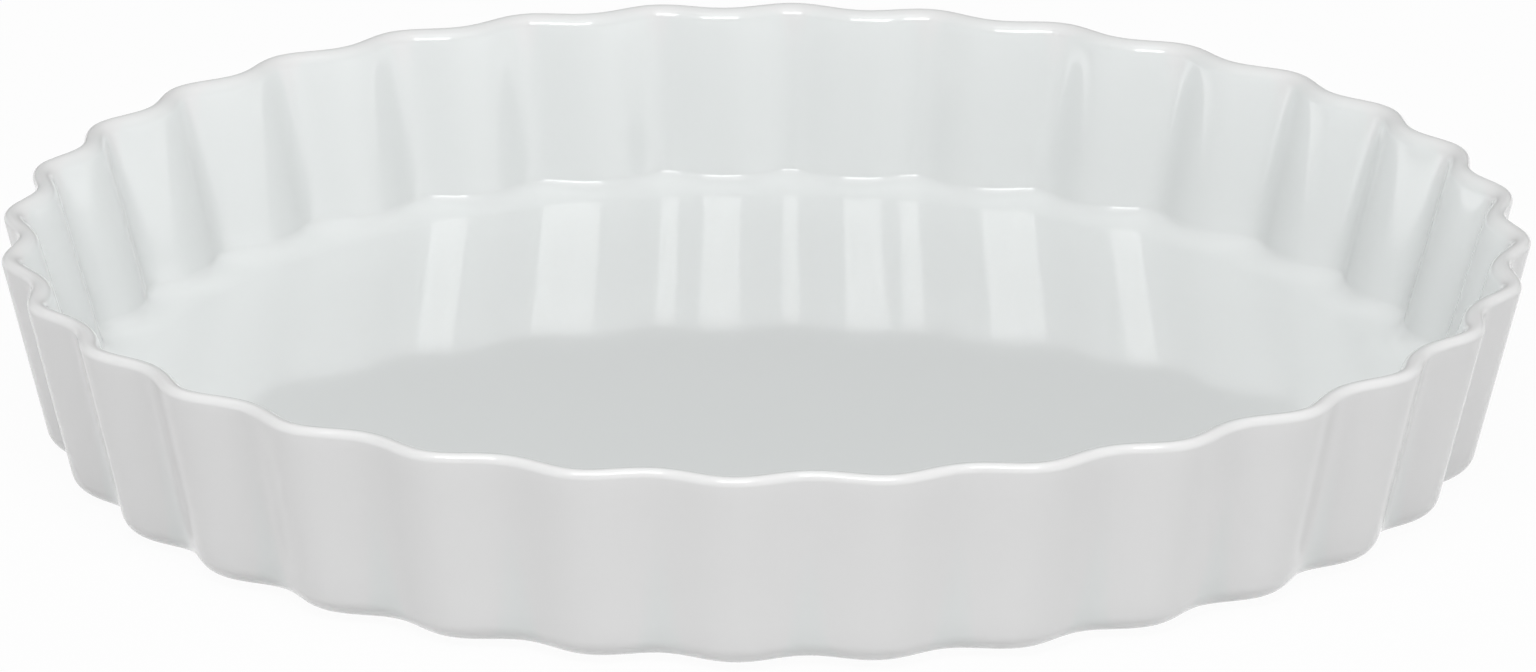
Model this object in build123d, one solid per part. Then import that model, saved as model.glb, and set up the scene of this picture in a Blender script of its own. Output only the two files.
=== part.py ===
from build123d import *

import os
from math import acos, atan2, ceil, cos, hypot, pi, radians, sin, tan

# Fluted quiche dish in white porcelain.
#
# The dish is one pressed porcelain body: a flat floor, a low wall that flares outwards and
# ripples in flutes all the way round, a rounded rim, and a plain foot ring underneath.
# A coat of glaze covers the body inside and out. It stops at the foot ring, which is wiped
# bare before firing, so the glaze inside the ring is a patch of its own.
# The origin is on the table under the middle of the dish, +Z is up, and a crest of the
# flutes lies on each of +X, -X, +Y and -Y.

# Overall sizes, in millimetres
rim_diameter = 280.0  # over the crests of the flutes
flare = 7.5  # how far the rim stands out beyond the heel, on each side
height = 38.5  # from the table to the top of the rim
wall_thickness = 4.3  # at the rim
rim_outer_radius = 1.3  # the rim's inner edge is rounded by the rest of the wall's thickness
wall_taper = radians(2.2)  # how much further the wall leans out inside than outside
floor_thickness = 4.2
heel_radius = 5.1  # outside, where the wall turns under the floor
fillet_width = 8.5  # inside, where the floor turns up into the wall: an oval turn, this wide
fillet_height = 3.0

# Flutes
flute_count = 32
flute_depth = 3.4  # from crest to hollow
points_per_flute = 6

# Foot ring
foot_height = 1.0
foot_inset = 13.0  # from the crests at the heel in to the ring's outer edge
foot_width = 4.0  # of the bare face that stands on the table
foot_draft = radians(20)

# Glaze
glaze_thickness = 0.3

# Largest step between two sections of a rounded part of the profile
arc_step = radians(18)

underside = foot_height
floor_top = underside + floor_thickness
rim_inner_radius = wall_thickness - rim_outer_radius
rim_reach = rim_diameter / 2 - flute_depth / 2
heel_reach = rim_reach - flare
foot_reach = rim_diameter / 2 - flare - foot_inset
straight_down = -pi / 2
straight_up = pi / 2

# Centres of the rounds of the profile, as (radius, height) with the flutes left out
heel_centre = (heel_reach - heel_radius, underside + heel_radius)
rim_outer_centre = (rim_reach - rim_outer_radius, height - rim_outer_radius)
rim_inner_centre = (rim_reach - rim_outer_radius, height - rim_inner_radius)

# The wall's outer line touches the heel and the rim. These are the directions in which its
# two faces look, the inner one seen from inside the wall.
across = rim_outer_centre[0] - heel_centre[0]
up = rim_outer_centre[1] - heel_centre[1]
outer_normal = atan2(up, across) - acos((heel_radius - rim_outer_radius) / hypot(across, up))
inner_normal = outer_normal - wall_taper

# The oval of the fillet touches the wall's inner line and the floor
fillet_level = floor_top + fillet_height
fillet_start = atan2(fillet_height * sin(inner_normal), fillet_width * cos(inner_normal))
fillet_span = hypot(fillet_width * cos(inner_normal), fillet_height * sin(inner_normal))
rim_line = rim_inner_centre[0] * cos(inner_normal) + rim_inner_centre[1] * sin(inner_normal)
inner_line = rim_line - rim_inner_radius
fillet_centre = (
    (inner_line - fillet_span - fillet_level * sin(inner_normal)) / cos(inner_normal),
    fillet_level,
)


def wavy_ring(radius, level, depth):
    """A closed line round the dish at one level, with flutes of that depth."""
    count = flute_count * points_per_flute
    turns = [2 * pi * k / count for k in range(count + 1)]
    points = []
    for turn in turns[:-1]:
        r = radius + depth / 2 * cos(flute_count * turn)
        points.append((r * cos(turn), r * sin(turn), level))
    return Wire([Edge.make_spline(points, periodic=True, parameters=turns)])


def turn_rings(point_at, depth_at, first, last):
    """The rings of one round of the profile, from one direction of its face to another."""
    steps = ceil(abs(last - first) / arc_step)
    angles = [first + (last - first) * k / steps for k in range(steps + 1)]
    return [wavy_ring(*point_at(angle), depth_at(angle)) for angle in angles]


def round_point(centre, radius, angle):
    return centre[0] + radius * cos(angle), centre[1] + radius * sin(angle)


def rim_point(inset, angle):
    if angle < straight_up:
        return round_point(rim_outer_centre, rim_outer_radius - inset, angle)
    return round_point(rim_inner_centre, rim_inner_radius - inset, angle)


def fillet_point(inset, turn):
    """A point of the oval, moved into the wall by inset."""
    normal = atan2(fillet_width * sin(turn), fillet_height * cos(turn))
    reach = fillet_width * cos(turn) + inset * cos(normal)
    rise = fillet_height * sin(turn) + inset * sin(normal)
    return fillet_centre[0] + reach, fillet_centre[1] + rise


def full_depth(angle):
    return flute_depth


def fillet_depth(turn):
    """The flutes run out evenly down the fillet and are gone where it meets the floor."""
    return flute_depth * cos(turn) / cos(fillet_start)


def dish_shape(inset):
    """The dish without its foot, as a solid that lies inset inside the finished surface."""
    heel = turn_rings(
        lambda angle: round_point(heel_centre, heel_radius - inset, angle),
        full_depth,
        straight_down,
        outer_normal,
    )
    rim = lambda angle: rim_point(inset, angle)
    outer_rim = turn_rings(rim, full_depth, outer_normal, straight_up)
    inner_rim = turn_rings(rim, full_depth, straight_up, inner_normal + pi)
    fillet = turn_rings(
        lambda turn: fillet_point(inset, turn), fillet_depth, fillet_start, straight_down
    )
    skins = [
        Shell.make_loft(heel),
        Shell.make_loft([heel[-1], outer_rim[0]], ruled=True),
        Shell.make_loft(outer_rim),
        Shell.make_loft(inner_rim),
        Shell.make_loft([inner_rim[-1], fillet[0]], ruled=True),
        Shell.make_loft(fillet),
    ]
    faces = [face for skin in skins for face in skin.faces()]
    faces += [Face(heel[0]), Face(fillet[-1])]
    return Solid(Shell(faces))


def foot_ring():
    """The bare ring that the dish stands on, let into the body above it."""
    top = underside + floor_thickness / 2
    spread = top * tan(foot_draft)
    inner = foot_reach - foot_width
    corners = [(inner, 0), (foot_reach, 0), (foot_reach + spread, top), (inner - spread, top)]
    with BuildPart() as ring:
        with BuildSketch(Plane.XZ):
            with BuildLine():
                Polyline(*corners, close=True)
            make_face()
        revolve(axis=Axis.Z)
    return ring.part


body = dish_shape(glaze_thickness) + foot_ring()
glaze = dish_shape(0) - body
underside_patch, coat = glaze.solids().sort_by(SortBy.VOLUME)

pieces = {
    "porcelain_body": body,
    "glaze_coat": coat,
    "underside_glaze": underside_patch,
}
os.makedirs("parts", exist_ok=True)
for name, piece in pieces.items():
    export_step(piece, f"parts/{name}.step")
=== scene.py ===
from math import acos, atan2, ceil, cos, hypot, pi, radians, sin, tan

import bmesh
import bpy
from mathutils import Matrix, Vector


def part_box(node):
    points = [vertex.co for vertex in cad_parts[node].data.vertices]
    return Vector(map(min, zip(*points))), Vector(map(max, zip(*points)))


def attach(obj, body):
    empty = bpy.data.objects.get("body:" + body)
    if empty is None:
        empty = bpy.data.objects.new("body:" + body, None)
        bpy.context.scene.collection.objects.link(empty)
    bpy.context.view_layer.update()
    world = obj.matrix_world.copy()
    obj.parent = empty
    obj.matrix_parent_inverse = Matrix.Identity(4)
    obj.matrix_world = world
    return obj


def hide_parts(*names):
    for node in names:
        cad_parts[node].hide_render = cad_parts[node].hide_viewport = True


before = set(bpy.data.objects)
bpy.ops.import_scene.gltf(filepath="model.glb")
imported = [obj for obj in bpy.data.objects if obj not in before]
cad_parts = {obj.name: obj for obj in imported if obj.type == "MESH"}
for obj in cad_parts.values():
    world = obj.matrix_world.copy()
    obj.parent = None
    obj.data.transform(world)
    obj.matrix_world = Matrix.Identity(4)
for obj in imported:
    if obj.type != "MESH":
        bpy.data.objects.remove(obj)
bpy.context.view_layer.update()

bl_info = {
    "name": "Fluted quiche dish",
    "version": (1, 0, 0),
    "blender": (4, 5, 0),
    "location": "View3D > Sidebar > Quiche dish",
    "description": "Dresses a fluted quiche dish in white glaze and sets it on a pale studio floor",
    "category": "Add Mesh",
}

# The dish, read from the frame
coat_low, coat_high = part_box("glaze_coat")
rim_crest_radius = coat_high.x
rim_top = coat_high.z
underside = coat_low.z


# Sizes, colours and light that a user may change


class DishSizes(bpy.types.PropertyGroup):
    """Sizes of the dish that its outside box doesn't give."""

    flute_count: bpy.props.IntProperty(
        name="Flutes", description="Number of flutes round the wall", default=32, min=8, max=60
    )
    flute_depth: bpy.props.FloatProperty(
        name="Flute depth", description="From crest to hollow", default=0.0034, unit="LENGTH"
    )
    flare: bpy.props.FloatProperty(
        name="Flare",
        description="How far the rim stands out beyond the heel on each side",
        default=0.0075,
        unit="LENGTH",
    )
    wall_thickness: bpy.props.FloatProperty(
        name="Wall thickness", description="At the rim", default=0.0043, unit="LENGTH"
    )
    rim_outer_radius: bpy.props.FloatProperty(
        name="Rim's outer radius",
        description="Its inner edge is rounded by the rest of the wall's thickness",
        default=0.0013,
        unit="LENGTH",
    )
    wall_taper: bpy.props.FloatProperty(
        name="Wall taper",
        description="How much further the wall leans out inside than outside",
        default=radians(2.2),
        subtype="ANGLE",
    )
    floor_thickness: bpy.props.FloatProperty(
        name="Floor thickness", description="Of the flat floor", default=0.0042, unit="LENGTH"
    )
    heel_radius: bpy.props.FloatProperty(
        name="Heel radius",
        description="Outside, where the wall turns under the floor",
        default=0.0051,
        unit="LENGTH",
    )
    fillet_width: bpy.props.FloatProperty(
        name="Fillet width",
        description="Inside, where the floor turns up into the wall in an oval",
        default=0.0085,
        unit="LENGTH",
    )
    fillet_height: bpy.props.FloatProperty(
        name="Fillet height", description="Of the same oval", default=0.003, unit="LENGTH"
    )
    foot_inset: bpy.props.FloatProperty(
        name="Foot inset",
        description="From the crests at the heel in to the foot ring",
        default=0.013,
        unit="LENGTH",
    )
    foot_draft: bpy.props.FloatProperty(
        name="Foot draft",
        description="Slope of the foot ring's sides",
        default=radians(20),
        subtype="ANGLE",
    )
    glaze_thickness: bpy.props.FloatProperty(
        name="Glaze thickness", description="Of the glaze", default=0.0003, unit="LENGTH"
    )


class DishColours(bpy.types.PropertyGroup):
    """Colours and finish of the glaze and of the bare porcelain."""

    glaze: bpy.props.FloatVectorProperty(
        name="Glaze",
        description="White glaze over porcelain",
        default=(0.80, 0.80, 0.80),
        subtype="COLOR",
        min=0,
        max=1,
    )
    # Painted cool light: a cooler tint inside the dish that stands in for the cooler light falling
    # there, not a colour of the glaze
    inside_painted_cool_light: bpy.props.FloatVectorProperty(
        name="Inner glaze",
        description="Inside the dish, where the glaze lies thicker and looks cooler",
        default=(0.785, 0.806, 0.803),
        subtype="COLOR",
        min=0,
        max=1,
    )
    pooled: bpy.props.FloatVectorProperty(
        name="Pooled glaze",
        description="In the fillet, where the glaze has run together",
        default=(0.77, 0.793, 0.789),
        subtype="COLOR",
        min=0,
        max=1,
    )
    thin: bpy.props.FloatVectorProperty(
        name="Thin glaze",
        description="Where the glaze runs thin, on the top of the rim",
        default=(0.80, 0.803, 0.80),
        subtype="COLOR",
        min=0,
        max=1,
    )
    gloss: bpy.props.FloatProperty(
        name="Roughness", description="Mean roughness of the glaze", default=0.08, min=0, max=1
    )
    bare: bpy.props.FloatVectorProperty(
        name="Bare porcelain",
        description="The foot ring, where no glaze lies",
        default=(0.78, 0.765, 0.73),
        subtype="COLOR",
        min=0,
        max=1,
    )
    scuff: bpy.props.FloatVectorProperty(
        name="Scuffs",
        description="Grey rubbed into the foot ring by shelves and tables",
        default=(0.52, 0.51, 0.49),
        subtype="COLOR",
        min=0,
        max=1,
    )


class StudioSettings(bpy.types.PropertyGroup):
    """Where the camera stands, how strong the lamps are and how pale the floor is."""

    azimuth: bpy.props.FloatProperty(
        name="Azimuth", description="Camera's turn round the dish", default=0.0392, subtype="ANGLE"
    )
    elevation: bpy.props.FloatProperty(
        name="Elevation", description="Above the rim's plane", default=0.3172, subtype="ANGLE"
    )
    distance: bpy.props.FloatProperty(
        name="Distance",
        description="From the middle of the rim's plane",
        default=1.782,
        unit="LENGTH",
    )
    aim_right: bpy.props.FloatProperty(
        name="Aim right", description="Aim beside the axis", default=0.000581, unit="LENGTH"
    )
    aim_down: bpy.props.FloatProperty(
        name="Aim down", description="Aim below the rim's plane", default=0.0219, unit="LENGTH"
    )
    roll: bpy.props.FloatProperty(
        name="Roll", description="Camera's roll", default=0.0052, subtype="ANGLE"
    )
    lens: bpy.props.FloatProperty(
        name="Lens", description="Focal length in millimetres", default=227.94
    )
    key_radiance: bpy.props.FloatProperty(
        name="Key box", description="Brightness of the wide softbox over the camera", default=9.0
    )
    key_turn: bpy.props.FloatProperty(
        name="Key box's turn",
        description="How far the wide softbox stands to the camera's left",
        default=radians(2.5),
        subtype="ANGLE",
    )
    top_radiance: bpy.props.FloatProperty(
        name="Top box", description="Brightness of the square softbox overhead", default=1.35
    )
    room_radiance: bpy.props.FloatProperty(
        name="Room", description="Brightness of the studio's brightest wall", default=4.0
    )
    floor: bpy.props.FloatVectorProperty(
        name="Floor", description="Studio floor", default=(0.66, 0.66, 0.66), subtype="COLOR"
    )
    floor_glow_share: bpy.props.FloatProperty(
        name="Floor's glow",
        description="How much of the floor's white is its own where it is seen",
        default=0.96,
    )


# Shader maths

# A Mix node's sockets for colours go by number, because others have the same names
mix_first = 6
mix_second = 7
mix_result = 2


class Signal:
    """A socket of a node tree, on which ordinary arithmetic adds Math nodes."""

    def __init__(self, tree, socket=None):
        self.tree = tree
        self.socket = socket

    def add(self, kind, settings=None, inputs=None, output=0):
        """A new node of that kind, with its settings made first and its inputs set or linked."""
        node = self.tree.nodes.new(kind)
        for name, setting in (settings or {}).items():
            if name == "stops":
                set_stops(node.color_ramp, setting)
            else:
                setattr(node, name, setting)
        for name, given in (inputs or {}).items():
            if isinstance(given, Signal):
                self.tree.links.new(given.socket, node.inputs[name])
            else:
                node.inputs[name].default_value = given
        return Signal(self.tree, node.outputs[output])

    def outputs(self):
        """All the outputs of the node that this socket belongs to, by name."""
        return {socket.name: Signal(self.tree, socket) for socket in self.socket.node.outputs}

    def maths(self, operation, *terms):
        return self.add("ShaderNodeMath", {"operation": operation}, dict(enumerate(terms)))

    def __add__(self, other):
        return self.maths("ADD", self, other)

    __radd__ = __add__

    def __sub__(self, other):
        return self.maths("SUBTRACT", self, other)

    def __rsub__(self, other):
        return self.maths("SUBTRACT", other, self)

    def __mul__(self, other):
        return self.maths("MULTIPLY", self, other)

    __rmul__ = __mul__

    def __truediv__(self, other):
        return self.maths("DIVIDE", self, other)

    def root(self):
        return self.maths("SQRT", self)

    def at_least(self, least):
        return self.maths("MAXIMUM", self, least)

    def ramp(self, low, high):
        """0 below low, 1 above high, and a soft step between them."""
        inputs = {"Value": self, "From Min": low, "From Max": high}
        return self.add("ShaderNodeMapRange", {"interpolation_type": "SMOOTHSTEP"}, inputs)

    def tint(self, first, second):
        """A colour that goes from first to second as this value goes from 0 to 1."""
        inputs = {"Factor": self, mix_first: with_alpha(first), mix_second: with_alpha(second)}
        return self.add("ShaderNodeMix", {"data_type": "RGBA"}, inputs, output=mix_result)


def with_alpha(colour):
    """A plain colour gets its alpha, and a linked one is left as it is."""
    return colour if isinstance(colour, Signal) else (*colour, 1.0)


def set_stops(ramp, stops):
    """Gives a colour ramp these stops, each a place and a grey level."""
    while len(ramp.elements) > 1:
        ramp.elements.remove(ramp.elements[-1])
    for number, (place, level) in enumerate(stops):
        element = ramp.elements[0] if number == 0 else ramp.elements.new(place)
        element.position = place
        element.color = (level, level, level, 1)


def split(vector):
    """The three parts of a vector."""
    return vector.add("ShaderNodeSeparateXYZ", None, {"Vector": vector}).outputs().values()


def noise(place, width, detail, offset=(0, 0, 0)):
    """Noise from 0 to 1 whose lumps are about as wide as width, in metres.

    The offset sets it apart from the other noises of the same material.
    """
    moved = place.add("ShaderNodeMapping", None, {"Vector": place, "Location": offset})
    inputs = {"Vector": moved, "Scale": 1 / width, "Detail": detail}
    return place.add("ShaderNodeTexNoise", None, inputs, output="Fac")


def bump(height, depth, strength):
    """A normal that follows a height of about 0 to 1, for marks as deep as depth, in metres."""
    inputs = {"Strength": strength, "Distance": depth, "Height": height}
    return height.add("ShaderNodeBump", None, inputs)


def new_material(name):
    """An empty material, and the place of a point on it in the object's coordinates."""
    material = bpy.data.materials.new(name)
    material.use_nodes = True
    material.node_tree.nodes.clear()
    place = Signal(material.node_tree).add("ShaderNodeTexCoord", output="Object")
    return material, place


def finish_tree(shader, output_kind):
    """Ends a tree of nodes in this shader."""
    output = shader.tree.nodes.new(output_kind)
    shader.tree.links.new(shader.socket, output.inputs["Surface"])


def finish_material(place, inputs):
    """Ends a material in a Principled shader with these inputs."""
    finish_tree(place.add("ShaderNodeBsdfPrincipled", None, inputs), "ShaderNodeOutputMaterial")


# Widths and depths of the glaze's marks, in metres
pool_width = 0.035
ripple_width = 0.012
fine_ripple_width = 0.0015
ripple_depth = 0.00006
gloss_patch_width = 0.02

# How strongly they show
even_pool_share = 0.5
thin_share = 0.7
fine_ripple_share = 0.15
ripple_strength = 0.12
gloss_spread_share = 0.4

# How strongly the glaze bends light
glaze_ior = 1.5

# Half the soft step between outside and inside, as a share of the wall's thickness
inside_edge_share = 0.1


def glaze_material(colours, sizes):
    """White glaze: painted cool light inside, pooled inside, thin on the rim, with the ripple of
    fired glass.
    """
    material, place = new_material("white_glaze")
    x, y, height = split(place)
    radius = (x * x + y * y).root()
    floor_top = underside + sizes.floor_thickness
    edge = inside_edge_share * sizes.wall_thickness
    lean = sizes.flare / (rim_top - underside)
    wall_middle = rim_crest_radius - (sizes.flute_depth + sizes.wall_thickness) / 2
    inwards = wall_middle - lean * (rim_top - height) - radius
    inside = inwards.ramp(-edge, edge) * height.ramp(underside, floor_top)
    # Inside the dish the colour turns cooler: painted cool light that falls inside, not a tint of
    # the glaze itself
    colour = inside.tint(colours.glaze, colours.inside_painted_cool_light)
    pooled = inside * (1 - height.ramp(floor_top, floor_top + sizes.fillet_height))
    cloud = noise(place, pool_width, detail=3.0)
    pooled = pooled * (even_pool_share + (1 - even_pool_share) * cloud)
    colour = pooled.tint(colour, colours.pooled)
    thin = height.ramp(rim_top - sizes.wall_thickness / 2, rim_top)
    colour = (thin_share * thin).tint(colour, colours.thin)
    ripple = noise(place, ripple_width, detail=2.0)
    fine_ripple = noise(place, fine_ripple_width, detail=2.0, offset=(0.3, 0.1, 0.2))
    patches = noise(place, gloss_patch_width, detail=3.0, offset=(0.1, 0.4, 0.0))
    gloss = colours.gloss * (1 - gloss_spread_share / 2 + gloss_spread_share * patches)
    inputs = {
        "Base Color": colour,
        "Roughness": gloss,
        "Normal": bump(ripple + fine_ripple_share * fine_ripple, ripple_depth, ripple_strength),
        "IOR": glaze_ior,
    }
    finish_material(place, inputs)
    return material


# Widths and depths of the bare porcelain's marks, in metres
grain_width = 0.0006
grain_depth = 0.00005
wear_width = 0.006

# How rough it is, and how much rougher on its grain
bare_roughness = 0.62
grain_roughness = 0.16

# How strongly the marks show
grain_strength = 0.3
scuff_share = 0.6

# Levels of the wear's noise at which a scuff starts and is full
scuff_start = 0.52
scuff_full = 0.72

# How far up the foot ring the scuffs reach, as a share of its height
worn_height_share = 0.3


def bare_material(colours):
    """Unglazed porcelain: matt and a little grainy, rubbed grey where it has stood on shelves."""
    material, place = new_material("bare_porcelain")
    grain = noise(place, grain_width, detail=3.0)
    wear = noise(place, wear_width, detail=4.0, offset=(0.2, 0.2, 0.0))
    wear = wear.ramp(scuff_start, scuff_full)
    height = place.add("ShaderNodeSeparateXYZ", None, {"Vector": place}, output="Z")
    rubbed = wear * (1 - height.ramp(0.0, worn_height_share * underside)) * scuff_share
    inputs = {
        "Base Color": rubbed.tint(colours.bare, colours.scuff),
        "Roughness": bare_roughness + grain_roughness * grain,
        "Normal": bump(grain, grain_depth, grain_strength),
    }
    finish_material(place, inputs)
    return material


# The glaze as a closed shell

# Rings of the flat floor, as shares of its radius
floor_ring_shares = [0.98, 0.94, 0.86, 0.74, 0.6, 0.45, 0.3, 0.15]

# How finely the skins are divided. The one that lies on the body is hidden, so it is less fine.
arc_step = radians(9)
fillet_step_share = 0.5
wall_rows = 8
under_rows = 3
steps_per_flute = 24
hidden_fineness_share = 0.5

# Points this near to each other, in metres, are merged
merge_distance = 0.000001


class Profile:
    """The dish's outline as (radius, height, flute depth, setback from the wall's outer face)."""

    def __init__(self, sizes):
        rim_reach = rim_crest_radius - sizes.flute_depth / 2
        heel_reach = rim_reach - sizes.flare
        outer_radius = sizes.rim_outer_radius
        inner_radius = sizes.wall_thickness - outer_radius
        self.sizes = sizes
        self.rim_inner_radius = inner_radius
        self.foot_reach = rim_crest_radius - sizes.flare - sizes.foot_inset
        self.floor_top = underside + sizes.floor_thickness
        self.heel_centre = (heel_reach - sizes.heel_radius, underside + sizes.heel_radius)
        self.rim_outer_centre = (rim_reach - outer_radius, rim_top - outer_radius)
        self.rim_inner_centre = (rim_reach - outer_radius, rim_top - inner_radius)
        across = self.rim_outer_centre[0] - self.heel_centre[0]
        up = self.rim_outer_centre[1] - self.heel_centre[1]
        turned = acos((sizes.heel_radius - outer_radius) / hypot(across, up))
        self.outer_normal = atan2(up, across) - turned
        self.inner_normal = self.outer_normal - sizes.wall_taper
        level = self.floor_top + sizes.fillet_height
        out, lift = cos(self.inner_normal), sin(self.inner_normal)
        line = self.rim_inner_centre[0] * out + self.rim_inner_centre[1] * lift - inner_radius
        span = hypot(sizes.fillet_width * out, sizes.fillet_height * lift)
        self.fillet_start = atan2(sizes.fillet_height * lift, sizes.fillet_width * out)
        self.fillet_centre = ((line - span - level * lift) / out, level)

    def heel_point(self, inset, angle):
        """A point of the heel, moved into the wall by inset."""
        s = self.sizes
        return *round_point(self.heel_centre, s.heel_radius - inset, angle), s.flute_depth, 0.0

    def rim_point(self, inset, angle):
        """A point of the rim, moved in too. Its setback starts at the rim's outermost line."""
        s = self.sizes
        centre, radius = self.rim_inner_centre, self.rim_inner_radius
        if angle < pi / 2:
            centre, radius = self.rim_outer_centre, s.rim_outer_radius
        done_share = max(angle, 0.0) / (self.inner_normal + pi)
        setback = s.wall_thickness * done_share**2
        return *round_point(centre, radius - inset, angle), s.flute_depth, setback

    def fillet_point(self, inset, turn):
        """A point of the fillet's oval, moved in too, with flutes that run out to the floor."""
        s = self.sizes
        normal = atan2(s.fillet_width * sin(turn), s.fillet_height * cos(turn))
        out = s.fillet_width * cos(turn) + inset * cos(normal)
        up = s.fillet_height * sin(turn) + inset * sin(normal)
        left_share = max(cos(turn), 0.0) / cos(self.fillet_start)
        radius = self.fillet_centre[0] + out
        height = self.fillet_centre[1] + up
        return radius, height, s.flute_depth * left_share, s.wall_thickness

    def skin(self, inset, fineness):
        """The glaze's face from the foot ring round the heel, wall, rim and fillet to the axis."""
        down = -pi / 2
        step = arc_step / fineness
        rows = round(wall_rows * fineness)
        heel = sweep(self.heel_point, inset, down, self.outer_normal, step)
        outer_rim = sweep(self.rim_point, inset, self.outer_normal, pi / 2, step)
        inner_rim = sweep(self.rim_point, inset, pi / 2, self.inner_normal + pi, step)
        fillet_step = step * fillet_step_share
        fillet = sweep(self.fillet_point, inset, self.fillet_start, down, fillet_step)
        level = underside + inset
        foot = (self.foot_reach + level * tan(self.sizes.foot_draft), level, 0.0, 0.0)
        under = run(foot, heel[0], under_rows)[:-1]
        outer = run(heel[-1], outer_rim[0], rows)[1:-1]
        inner = run(inner_rim[-1], fillet[0], rows)[1:-1]
        wall = outer + outer_rim[:-1] + inner_rim + inner
        level = self.floor_top - inset
        floor = [(fillet[-1][0] * share, level, 0.0, 0.0) for share in floor_ring_shares]
        return under + heel + wall + fillet + floor + [(0.0, level, 0.0, 0.0)]


def round_point(centre, radius, angle):
    return centre[0] + radius * cos(angle), centre[1] + radius * sin(angle)


def sweep(point_at, inset, first, last, step):
    """Points of one round part, from one direction of its face to another."""
    count = ceil(abs(last - first) / step)
    return [point_at(inset, first + (last - first) * k / count) for k in range(count + 1)]


def run(first, last, count):
    """Evenly spaced points from first to last, both ends with them."""
    return [
        tuple(a + (b - a) * k / count for a, b in zip(first, last)) for k in range(count + 1)
    ]


def spin_shell(path, steps):
    """A closed shell, made by spinning a loop of profile points all the way round.

    Two neighbours in the loop lie on the axis, and no edge is made between them.
    """
    bm = bmesh.new()
    depths = bm.verts.layers.float.new("flute_depth")
    setbacks = bm.verts.layers.float.new("setback")
    verts = []
    for radius, height, depth, setback in path:
        vert = bm.verts.new((radius, 0.0, height))
        vert[depths] = depth
        vert[setbacks] = setback
        verts.append(vert)
    pairs = zip(verts, verts[1:] + verts[:1])
    edges = [bm.edges.new(pair) for pair in pairs if (pair[0].co.x, pair[1].co.x) != (0.0, 0.0)]
    bmesh.ops.spin(
        bm,
        geom=verts + edges,
        cent=(0, 0, 0),
        axis=(0, 0, 1),
        angle=2 * pi,
        steps=steps,
        use_merge=True,
    )
    return bm


def flute(bm, count):
    """Moves each vertex in or out so that the flutes run down the wall.

    The face that is set back keeps its distance from the outer one, so its crests are sharper
    and its hollows flatter: a second, shorter wave says how much.
    """
    depths = bm.verts.layers.float["flute_depth"]
    setbacks = bm.verts.layers.float["setback"]
    for vert in bm.verts:
        reach = vert[depths] / 2
        if reach > 0:
            phase = count * atan2(vert.co.y, vert.co.x)
            radius = hypot(vert.co.x, vert.co.y)
            steepness = reach * count / radius
            out = reach * cos(phase) + vert[setbacks] * steepness**2 / 4 * cos(2 * phase)
            vert.co.x *= 1 + out / radius
            vert.co.y *= 1 + out / radius


def finish_piece(name, bm, material, slot, *nodes):
    """Turns a bmesh into a smooth piece that rides on the dish and stands for these nodes."""
    bmesh.ops.remove_doubles(bm, verts=bm.verts, dist=merge_distance)
    bmesh.ops.recalc_face_normals(bm, faces=bm.faces)
    for face in bm.faces:
        face.smooth = True
    mesh = bpy.data.meshes.new(name)
    bm.to_mesh(mesh)
    bm.free()
    mesh.materials.append(material)
    piece = bpy.data.objects.new(name, mesh)
    bpy.context.scene.collection.objects.link(piece)
    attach(piece, "root")
    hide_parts(*nodes)


def dress_node(name, material):
    """Gives a piece of the frame this material."""
    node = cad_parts[name]
    node.data.materials.clear()
    node.data.materials.append(material)


class DISH_OT_glaze_coat(bpy.types.Operator):
    """Make the glaze coat, from the foot ring over the heel, the wall and the rim to the inside"""

    bl_idname = "dish.glaze_coat"
    bl_label = "Glaze coat"

    def execute(self, context):
        sizes = context.scene.dish_sizes
        profile = Profile(sizes)
        outside = profile.skin(inset=0, fineness=1)
        inside = profile.skin(sizes.glaze_thickness, hidden_fineness_share)
        bm = spin_shell(outside + inside[::-1], sizes.flute_count * steps_per_flute)
        flute(bm, sizes.flute_count)
        material = glaze_material(context.scene.dish_colours, sizes)
        finish_piece("glaze_coat_skin", bm, material, "glaze", "glaze_coat")
        return {"FINISHED"}


class DISH_OT_underside_glaze(bpy.types.Operator):
    """Give the patch inside the foot ring the coat's glaze, once the coat is made"""

    bl_idname = "dish.underside_glaze"
    bl_label = "Underside glaze"

    def execute(self, context):
        dress_node("underside_glaze", bpy.data.materials["white_glaze"])
        return {"FINISHED"}


class DISH_OT_porcelain_body(bpy.types.Operator):
    """Give the porcelain body its bare finish, which shows on the foot ring"""

    bl_idname = "dish.porcelain_body"
    bl_label = "Porcelain body"

    def execute(self, context):
        dress_node("porcelain_body", bare_material(context.scene.dish_colours))
        return {"FINISHED"}


# The studio

floor_radius = 30.0
floor_segments = 96

# The softboxes' distance from the dish, their sides, and their height as an angle from there
softbox_distance = 2.0
key_width = 1.45
key_height = 0.55
key_elevation = radians(54)
top_width = 1.2
top_elevation = radians(75)

# Levels of the studio's walls, as shares of the brightest, by the sine of the height angle
ceiling_share = 0.11
right_wall_shares = [
    (0, 0.75),
    (0.07, 0.55),
    (0.12, 0.32),
    (0.22, 0.42),
    (0.35, 0.2),
    (0.5, 0.05),
    (0.7, 0.1),
    (1, ceiling_share),
]
left_wall_shares = [
    (0, 1),
    (0.07, 0.65),
    (0.12, 0.18),
    (0.22, 0.24),
    (0.35, 0.11),
    (0.5, 0.03),
    (0.7, 0.07),
    (1, ceiling_share),
]
back_wall_shares = [
    (0.03, 0),
    (0.12, 0.05),
    (0.22, 0.08),
    (0.35, 0.055),
    (0.5, 0.09),
    (1, ceiling_share),
]
front_wall_shares = [(0.08, 0), (0.22, 0.04), (0.35, 0.035), (0.5, 0.035), (0.7, 0.05), (1, 0.05)]

# Each wall's turn from the front to the right, and its levels
walls = [
    (radians(0), front_wall_shares),
    (radians(78), right_wall_shares),
    (radians(180), back_wall_shares),
    (radians(-75), left_wall_shares),
]

# Keeps the walls' light defined straight above and below the dish
least_level_share = 0.000001


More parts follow.
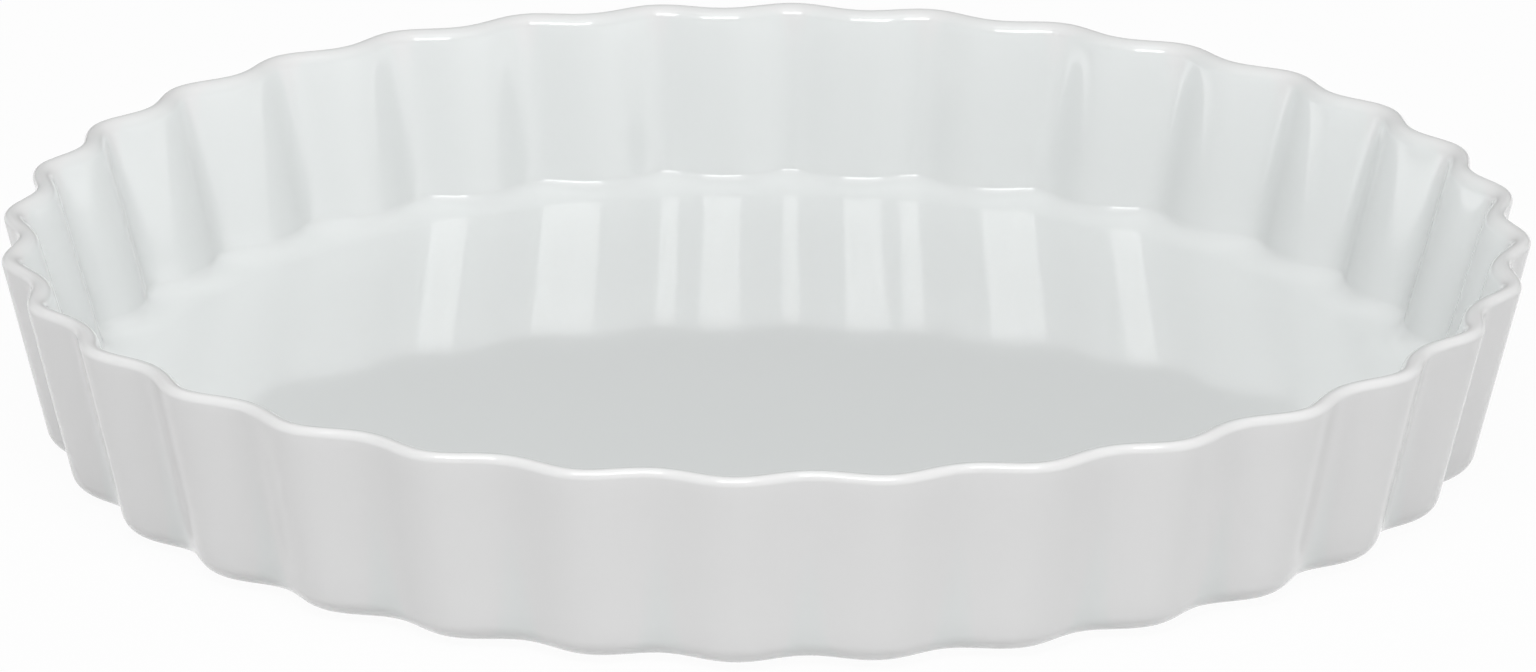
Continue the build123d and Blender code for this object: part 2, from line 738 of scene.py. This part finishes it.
def floor_material(studio):
    """A pale floor that reads as white where it is seen and still takes the dish's shadow."""
    material, place = new_material("studio_floor")
    paths = place.add("ShaderNodeLightPath").outputs()
    seen = paths["Is Camera Ray"] + paths["Is Glossy Ray"] + paths["Is Transmission Ray"]
    lit = place.add("ShaderNodeBsdfDiffuse", None, {"Color": with_alpha(studio.floor)})
    white = place.add("ShaderNodeEmission", None, {"Color": (1, 1, 1, 1), "Strength": 1.0})
    # The two shaders' sockets have the same name, so they go by number
    inputs = {0: seen * studio.floor_glow_share, 1: lit, 2: white}
    finish_tree(place.add("ShaderNodeMixShader", None, inputs), "ShaderNodeOutputMaterial")
    return material


def direction(turn, elevation):
    """The way to a place that stands this far round from the front to the right, and this high."""
    return Vector((sin(turn) * cos(elevation), -cos(turn) * cos(elevation), sin(elevation)))


def add_softbox(scene, name, turn, elevation, width, height, radiance):
    """A rectangular lamp that faces the dish."""
    lamp = bpy.data.lights.new(name, "AREA")
    lamp.shape = "RECTANGLE"
    lamp.size = width
    lamp.size_y = height
    lamp.energy = radiance * pi * width * height
    box = bpy.data.objects.new(name, lamp)
    back = direction(turn, elevation)
    box.location = back * softbox_distance
    box.rotation_mode = "QUATERNION"
    box.rotation_quaternion = back.to_track_quat("Z", "Y")
    box.visible_camera = False
    scene.collection.objects.link(box)


def light_room(scene, studio):
    """The studio's four walls as the world's light, each with its own levels by height."""
    world = bpy.data.worlds.new("studio_room")
    scene.world = world
    world.use_nodes = True
    world.node_tree.nodes.clear()
    away = Signal(world.node_tree).add("ShaderNodeTexCoord", output="Generated")
    x, y, z = split(away)
    level_share = x * x + y * y + least_level_share
    light = 0.0
    for turn, stops in walls:
        facing = (x * sin(turn) - y * cos(turn)).at_least(0.0)
        wall = away.add("ShaderNodeValToRGB", {"stops": stops}, {"Fac": z})
        light = light + facing * facing / level_share * wall
    inputs = {"Color": light, "Strength": studio.room_radiance}
    finish_tree(away.add("ShaderNodeBackground", None, inputs), "ShaderNodeOutputWorld")


def place_camera(scene, studio):
    """The camera, at the photograph's angle and distance."""
    data = bpy.data.cameras.new("camera")
    data.sensor_width = 36.0
    data.lens = studio.lens
    data.clip_start = 0.05
    data.clip_end = 60.0
    camera = bpy.data.objects.new("camera", data)
    rim_middle = Vector((0, 0, rim_top))
    spot = rim_middle + direction(studio.azimuth, studio.elevation) * studio.distance
    right = Vector((cos(studio.azimuth), sin(studio.azimuth), 0))
    aim = rim_middle + right * studio.aim_right - Vector((0, 0, studio.aim_down))
    away = (spot - aim).normalized()
    side = Vector((0, 0, 1)).cross(away).normalized()
    up = away.cross(side)
    rolled_side = side * cos(studio.roll) + up * sin(studio.roll)
    rolled_up = up * cos(studio.roll) - side * sin(studio.roll)
    turned = Matrix((rolled_side, rolled_up, away)).transposed()
    camera.matrix_world = Matrix.Translation(spot) @ turned.to_4x4()
    scene.collection.objects.link(camera)
    scene.camera = camera


class DISH_OT_stage(bpy.types.Operator):
    """Set the dish on a pale floor under soft light, before the camera"""

    bl_idname = "dish.stage"
    bl_label = "Stage"

    def execute(self, context):
        scene = context.scene
        studio = scene.dish_studio
        bm = bmesh.new()
        bmesh.ops.create_circle(bm, cap_ends=True, segments=floor_segments, radius=floor_radius)
        mesh = bpy.data.meshes.new("studio_floor")
        bm.to_mesh(mesh)
        bm.free()
        mesh.materials.append(floor_material(studio))
        floor = bpy.data.objects.new("studio_floor", mesh)
        scene.collection.objects.link(floor)
        key_turn = studio.azimuth - studio.key_turn
        softboxes = [
            ("key_box", key_turn, key_elevation, key_width, key_height, studio.key_radiance),
            ("top_box", studio.azimuth, top_elevation, top_width, top_width, studio.top_radiance),
        ]
        for softbox in softboxes:
            add_softbox(scene, *softbox)
        light_room(scene, studio)
        place_camera(scene, studio)
        scene.view_settings.view_transform = "Standard"
        return {"FINISHED"}


class DISH_PT_panel(bpy.types.Panel):
    """Lists the dish's sizes, colours, studio and pieces in the sidebar"""

    bl_idname = "DISH_PT_panel"
    bl_label = "Quiche dish"
    bl_space_type = "VIEW_3D"
    bl_region_type = "UI"
    bl_category = "Quiche dish"

    def draw(self, context):
        for group_name in groups:
            group = getattr(context.scene, group_name)
            for name in group.__annotations__:
                self.layout.prop(group, name)
        for operator in operators:
            self.layout.operator(operator.bl_idname)


groups = {
    "dish_sizes": DishSizes,
    "dish_colours": DishColours,
    "dish_studio": StudioSettings,
}
operators = (
    DISH_OT_stage,
    DISH_OT_glaze_coat,
    DISH_OT_underside_glaze,
    DISH_OT_porcelain_body,
)


def register():
    for name, group in groups.items():
        bpy.utils.register_class(group)
        setattr(bpy.types.Scene, name, bpy.props.PointerProperty(type=group))
    for operator in operators:
        bpy.utils.register_class(operator)
    bpy.utils.register_class(DISH_PT_panel)


def unregister():
    bpy.utils.unregister_class(DISH_PT_panel)
    for operator in reversed(operators):
        bpy.utils.unregister_class(operator)
    for name, group in groups.items():
        delattr(bpy.types.Scene, name)
        bpy.utils.unregister_class(group)


def main():
    register()
    bpy.ops.dish.stage()
    bpy.ops.dish.glaze_coat()
    bpy.ops.dish.underside_glaze()
    bpy.ops.dish.porcelain_body()


if __name__ == "__main__":
    main()
